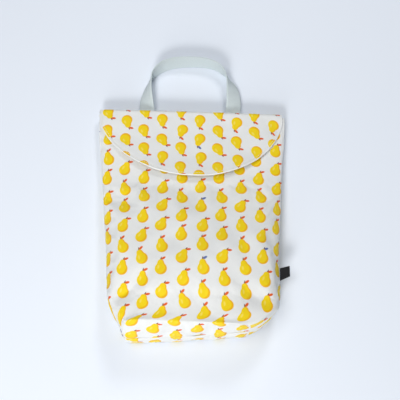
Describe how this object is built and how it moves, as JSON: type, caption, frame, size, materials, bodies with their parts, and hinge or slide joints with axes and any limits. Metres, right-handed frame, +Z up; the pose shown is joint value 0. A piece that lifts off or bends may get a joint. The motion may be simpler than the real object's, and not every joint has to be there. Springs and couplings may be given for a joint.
{
  "type": "cloth diaper wet bag",
  "caption": "Flat cloth pouch with a boxed foot, a wide rounded flap folded over its mouth and a webbing carry loop, lying lightly filled on its back.",
  "frame": {"origin": "on the flat of the back that the bag rests on, midway between the foot and the top fold", "axes": "+X to the right as seen from the front, +Y from the foot towards the handle, +Z up out of the front"},
  "size_m": [0.2408, 0.37, 0.061],
  "materials": {
    "printed_cloth": "matt printed cotton, off-white ground with small yellow motifs",
    "webbing": "matt pale grey-green webbing",
    "woven_tab": "black woven tape, bare"
  },
  "bodies": {
    "root": {"front_panel": "printed_cloth", "back_panel": "printed_cloth", "flap": "printed_cloth", "handle": "webbing", "side_tab": "woven_tab"}
  },
  "joints": []
}
